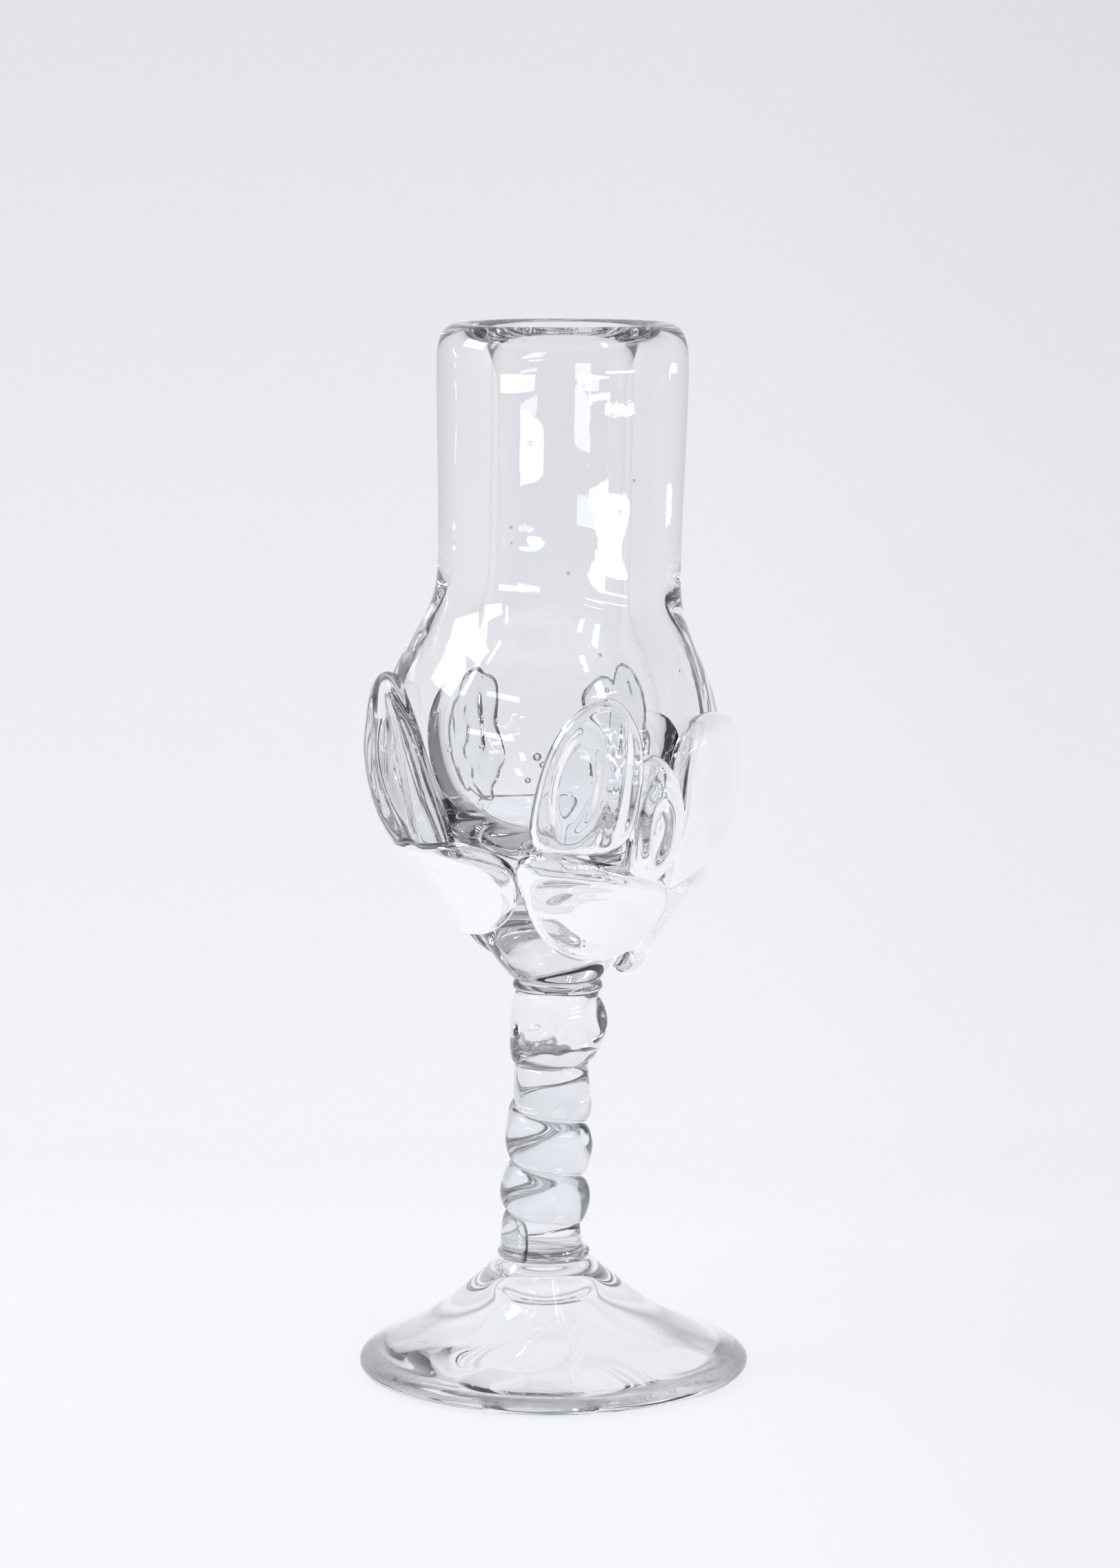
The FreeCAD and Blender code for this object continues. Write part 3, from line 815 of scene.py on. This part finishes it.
def light_path(tree):
    """Whether a ray sees the stage itself, and how often it was mirrored if it has passed through glass."""
    path = node(tree, "ShaderNodeLightPath").outputs
    direct = maths(tree, "MAXIMUM", path["Is Camera Ray"], path["Is Glossy Ray"])
    seen = maths(tree, "MAXIMUM", direct, path["Is Transmission Ray"])
    inside = maths(tree, "MINIMUM", path["Transmission Depth"], 1.0)
    return seen, maths(tree, "MULTIPLY", inside, path["Glossy Depth"])


def scaled(tree, colour, amount):
    made = node(tree, "ShaderNodeVectorMath", operation="SCALE")
    tree.links.new(colour, made.inputs[0])
    tree.links.new(amount, made.inputs["Scale"])
    return made.outputs[0]


def sweep_material(look):
    """Pale paper with painted shade, seen by the eye and in the glass; a share of the floor takes shadow."""
    material = bpy.data.materials.new("Pale sweep")
    material.use_nodes = True
    tree = material.node_tree
    link = tree.links.new
    tree.nodes.remove(tree.nodes["Principled BSDF"])
    where = node(tree, "ShaderNodeTexCoord")
    split = node(tree, "ShaderNodeSeparateXYZ")
    link(where.outputs["Object"], split.inputs[0])
    # painted shade: the paper darkens up the wall and towards the right
    ramp = spread_ramp(tree, SWEEP_SHADE_COLOURS)
    link(maths(tree, "DIVIDE", split.outputs["Z"], WALL_TOP), ramp.inputs[0])
    right = ranged(tree, split.outputs["X"], *RIGHT_SHADE_PLACES, 1.0, RIGHT_PAINTED_SHADE)
    grain = node(tree, "ShaderNodeTexNoise", Scale=PAPER_GRAIN, Detail=2.0)
    link(where.outputs["Object"], grain.inputs["Vector"])
    uneven = ranged(tree, grain.outputs["Fac"], 0.0, 1.0, *PAPER_TONES, smooth=False)
    colour = scaled(tree, ramp.outputs["Color"], maths(tree, "MULTIPLY", right, uneven))
    paper = node(tree, "ShaderNodeBsdfDiffuse")
    link(colour, paper.inputs["Color"])

    # painted shade, standing in for a dark room seen through the glass:
    # the wall dims for light mirrored twice or more in the glass, the far floor for any, the near floor never
    seen, turns = light_path(tree)
    further = maths(tree, "MAXIMUM", maths(tree, "SUBTRACT", turns, 1.0), 0.0)
    wall_painted_shade = maths(tree, "POWER", look.keep, maths(tree, "POWER", further, PAINTED_SHADE_FALL_OFF))
    floor = ranged(tree, split.outputs["Z"], *FLOOR_ENDS, 1.0, 0.0)
    painted_shade_beyond = node(tree, "ShaderNodeMix", data_type="FLOAT")
    link(floor, painted_shade_beyond.inputs["Factor"])
    link(wall_painted_shade, painted_shade_beyond.inputs[2])
    link(maths(tree, "POWER", look.painted_shade_per_turn, turns), painted_shade_beyond.inputs[3])
    flat = node(tree, "ShaderNodeCombineXYZ")
    link(split.outputs["X"], flat.inputs["X"])
    link(split.outputs["Y"], flat.inputs["Y"])
    away = node(tree, "ShaderNodeVectorMath", operation="LENGTH")
    link(flat.outputs[0], away.inputs[0])
    close = maths(tree, "MULTIPLY", floor, ranged(tree, away.outputs["Value"], *NEAR_ENDS, 1.0, 0.0))
    glow = node(tree, "ShaderNodeEmission", Strength=1.0)
    link(scaled(tree, colour, maths(tree, "MAXIMUM", painted_shade_beyond.outputs[0], close)), glow.inputs["Color"])

    share = ranged(tree, split.outputs["Z"], *SHADE_ENDS, look.glow, 1.0, smooth=False)
    mix = node(tree, "ShaderNodeMixShader")
    link(maths(tree, "MULTIPLY", seen, share), mix.inputs[0])
    link(paper.outputs[0], mix.inputs[1])
    link(glow.outputs[0], mix.inputs[2])
    # from behind, the wall is open
    behind = node(tree, "ShaderNodeNewGeometry")
    clear = node(tree, "ShaderNodeBsdfTransparent")
    open_back = node(tree, "ShaderNodeMixShader")
    link(behind.outputs["Backfacing"], open_back.inputs[0])
    link(mix.outputs[0], open_back.inputs[1])
    link(clear.outputs[0], open_back.inputs[2])
    link(open_back.outputs[0], tree.nodes["Material Output"].inputs["Surface"])
    return material


def room_light(world, look):
    """The room: as pale as the paper to the eye and in the glass, and a plain soft light for all else.

    Painted shade: rays mirrored inside the glass get less of the room's colour, apart from the ceiling.
    """
    world.use_nodes = True
    tree = world.node_tree
    link = tree.links.new
    where = node(tree, "ShaderNodeTexCoord")
    split = node(tree, "ShaderNodeSeparateXYZ")
    link(where.outputs["Generated"], split.inputs[0])
    ramp = spread_ramp(tree, ROOM_COLOURS)
    height = maths(tree, "MULTIPLY_ADD", split.outputs["Z"], 0.5, 0.5)
    link(height, ramp.inputs[0])
    seen, turns = light_path(tree)
    ceiling = ranged(tree, height, *CEILING_STARTS)
    # painted shade: the room's colour darkens for rays turned inside the glass, apart from the ceiling
    left = maths(tree, "MAXIMUM", maths(tree, "POWER", look.painted_shade_per_turn, turns), ceiling)
    background = tree.nodes["Background"]
    link(scaled(tree, ramp.outputs["Color"], left), background.inputs["Color"])
    link(ranged(tree, seen, 0.0, 1.0, look.room, 1.0, smooth=False), background.inputs["Strength"])


def lamp(name, place, aim, width, height, radiance, form="RECTANGLE"):
    """A flat lamp of a plain brightness at a place, turned towards a point."""
    data = bpy.data.lights.new(name, "AREA")
    data.shape = form
    data.size, data.size_y = width, height
    data.energy = radiance * width * height * math.pi
    made = bpy.data.objects.new(name, data)
    made.location = place
    made.rotation_euler = (Vector(aim) - Vector(place)).to_track_quat("-Z", "Y").to_euler()
    made.visible_camera = False
    bpy.context.scene.collection.objects.link(made)


def glint(name, turns, levels, form):
    """A lamp set where the cup's skin mirrors it between two turns and levels, for an eye at the camera."""
    eye = Vector(CAMERA_PLACE)
    middle_turn, middle_level = sum(turns) / 2, sum(levels) / 2
    spots, places = {}, {}
    for key, turn, level in (
        ("left", turns[0], middle_level), ("right", turns[1], middle_level), ("low", middle_turn, levels[0]),
        ("high", middle_turn, levels[1]), ("middle", middle_turn, middle_level),
    ):
        around, skin = math.radians(turn), skin_radius(level)
        slope = (skin_radius(level + 1) - skin_radius(level - 1)) / 2
        side = math.sin(around) * skin + read(CUP_DRIFT, level)
        spots[key] = Vector((side, -math.cos(around) * skin, level)) * MM
        normal = Vector((math.sin(around), -math.cos(around), -slope)).normalized()
        places[key] = spots[key] + (spots[key] - eye).normalized().reflect(normal) * GLINT_AWAY
    width = (places["left"] - places["right"]).length
    height = (places["low"] - places["high"]).length
    if levels[0] > SHOULDER:
        # the neck is straight, so it mirrors heights as a flat glass does
        height = (levels[1] - levels[0]) * MM * (1 + GLINT_AWAY / (spots["middle"] - eye).length)
    brightness = bpy.context.scene.stage_look.window
    lamp(name, places["middle"], spots["middle"], width, height, brightness, form)


class GOBLET_OT_stage(bpy.types.Operator):
    """Sets the pale sweep, the windows, the room's light and the camera"""

    bl_idname = "goblet.stage"
    bl_label = "Stage"

    def execute(self, context):
        scene = context.scene
        look = scene.stage_look
        wall = look.wall_distance
        bm = bmesh.new()
        corners = ((-SWEEP_FRONT, 0), (wall, 0), (wall, SWEEP_HEIGHT))
        line = [bm.verts.new((-SWEEP_HALF, y, z)) for y, z in corners]
        edges = [bm.edges.new(pair) for pair in zip(line, line[1:])]
        pulled = bmesh.ops.extrude_edge_only(bm, edges=edges)["geom"]
        far_side = [g for g in pulled if isinstance(g, bmesh.types.BMVert)]
        bmesh.ops.translate(bm, verts=far_side, vec=(2 * SWEEP_HALF, 0, 0))
        corner = [e for e in bm.edges if all(abs(v.co.y - wall) + abs(v.co.z) < 1e-6 for v in e.verts)]
        bmesh.ops.bevel(
            bm, geom=corner, offset=SWEEP_BEND, affect="EDGES", segments=10, profile=0.5, material=-1
        )
        mesh = bpy.data.meshes.new("sweep")
        bm.to_mesh(mesh)
        bm.free()
        for face in mesh.polygons:
            face.use_smooth = True
        mesh.materials.append(sweep_material(look))
        sweep = bpy.data.objects.new("sweep", mesh)
        scene.collection.objects.link(sweep)

        lamp("window_right", WINDOW_PLACE, WINDOW_AIM, *WINDOW_SIZE, look.window)
        for name, turns, levels, form in GLINTS:
            glint(name, turns, levels, form)

        scene.world = bpy.data.worlds.new("Room")
        room_light(scene.world, look)

        camera_data = bpy.data.cameras.new("camera")
        camera_data.lens = LENS
        camera_data.sensor_width = SENSOR
        camera = bpy.data.objects.new("camera", camera_data)
        camera.location = CAMERA_PLACE
        camera.rotation_euler = (math.radians(90 - CAMERA_DIP), 0, 0)
        scene.collection.objects.link(camera)
        scene.camera = camera

        scene.view_settings.view_transform = "Standard"
        scene.cycles.max_bounces = GLASS_BOUNCES
        scene.cycles.transmission_bounces = GLASS_BOUNCES
        scene.cycles.glossy_bounces = MIRROR_BOUNCES
        scene.cycles.diffuse_bounces = SOFT_BOUNCES
        return {"FINISHED"}


class GOBLET_PT_panel(bpy.types.Panel):
    """Lists the goblet's sizes, finishes and pieces"""

    bl_label = "Petal Goblet"
    bl_space_type = "VIEW_3D"
    bl_region_type = "UI"
    bl_category = "Goblet"

    def draw(self, context):
        scene = context.scene
        for title, group in (
            ("Shape", scene.goblet_shape), ("Glass", scene.glass_finish), ("Stage", scene.stage_look),
        ):
            box = self.layout.box()
            box.label(text=title)
            for key in group.__annotations__:
                box.prop(group, key)
        for operator in OPERATORS:
            self.layout.operator(operator.bl_idname)


OPERATORS = (
    GOBLET_OT_cup, GOBLET_OT_petals, GOBLET_OT_sepals, GOBLET_OT_stem, GOBLET_OT_foot, GOBLET_OT_stage,
)
GROUPS = {"goblet_shape": GobletShape, "glass_finish": GlassFinish, "stage_look": StageLook}


def register():
    for made in (*GROUPS.values(), *OPERATORS, GOBLET_PT_panel):
        bpy.utils.register_class(made)
    for name, group in GROUPS.items():
        setattr(bpy.types.Scene, name, bpy.props.PointerProperty(type=group))


def unregister():
    for name in GROUPS:
        delattr(bpy.types.Scene, name)
    for made in reversed((*GROUPS.values(), *OPERATORS, GOBLET_PT_panel)):
        bpy.utils.unregister_class(made)


def main():
    register()
    bpy.ops.goblet.cup()
    bpy.ops.goblet.petals()
    bpy.ops.goblet.sepals()
    bpy.ops.goblet.stem()
    bpy.ops.goblet.foot()
    bpy.ops.goblet.stage()


if __name__ == "__main__":
    main()
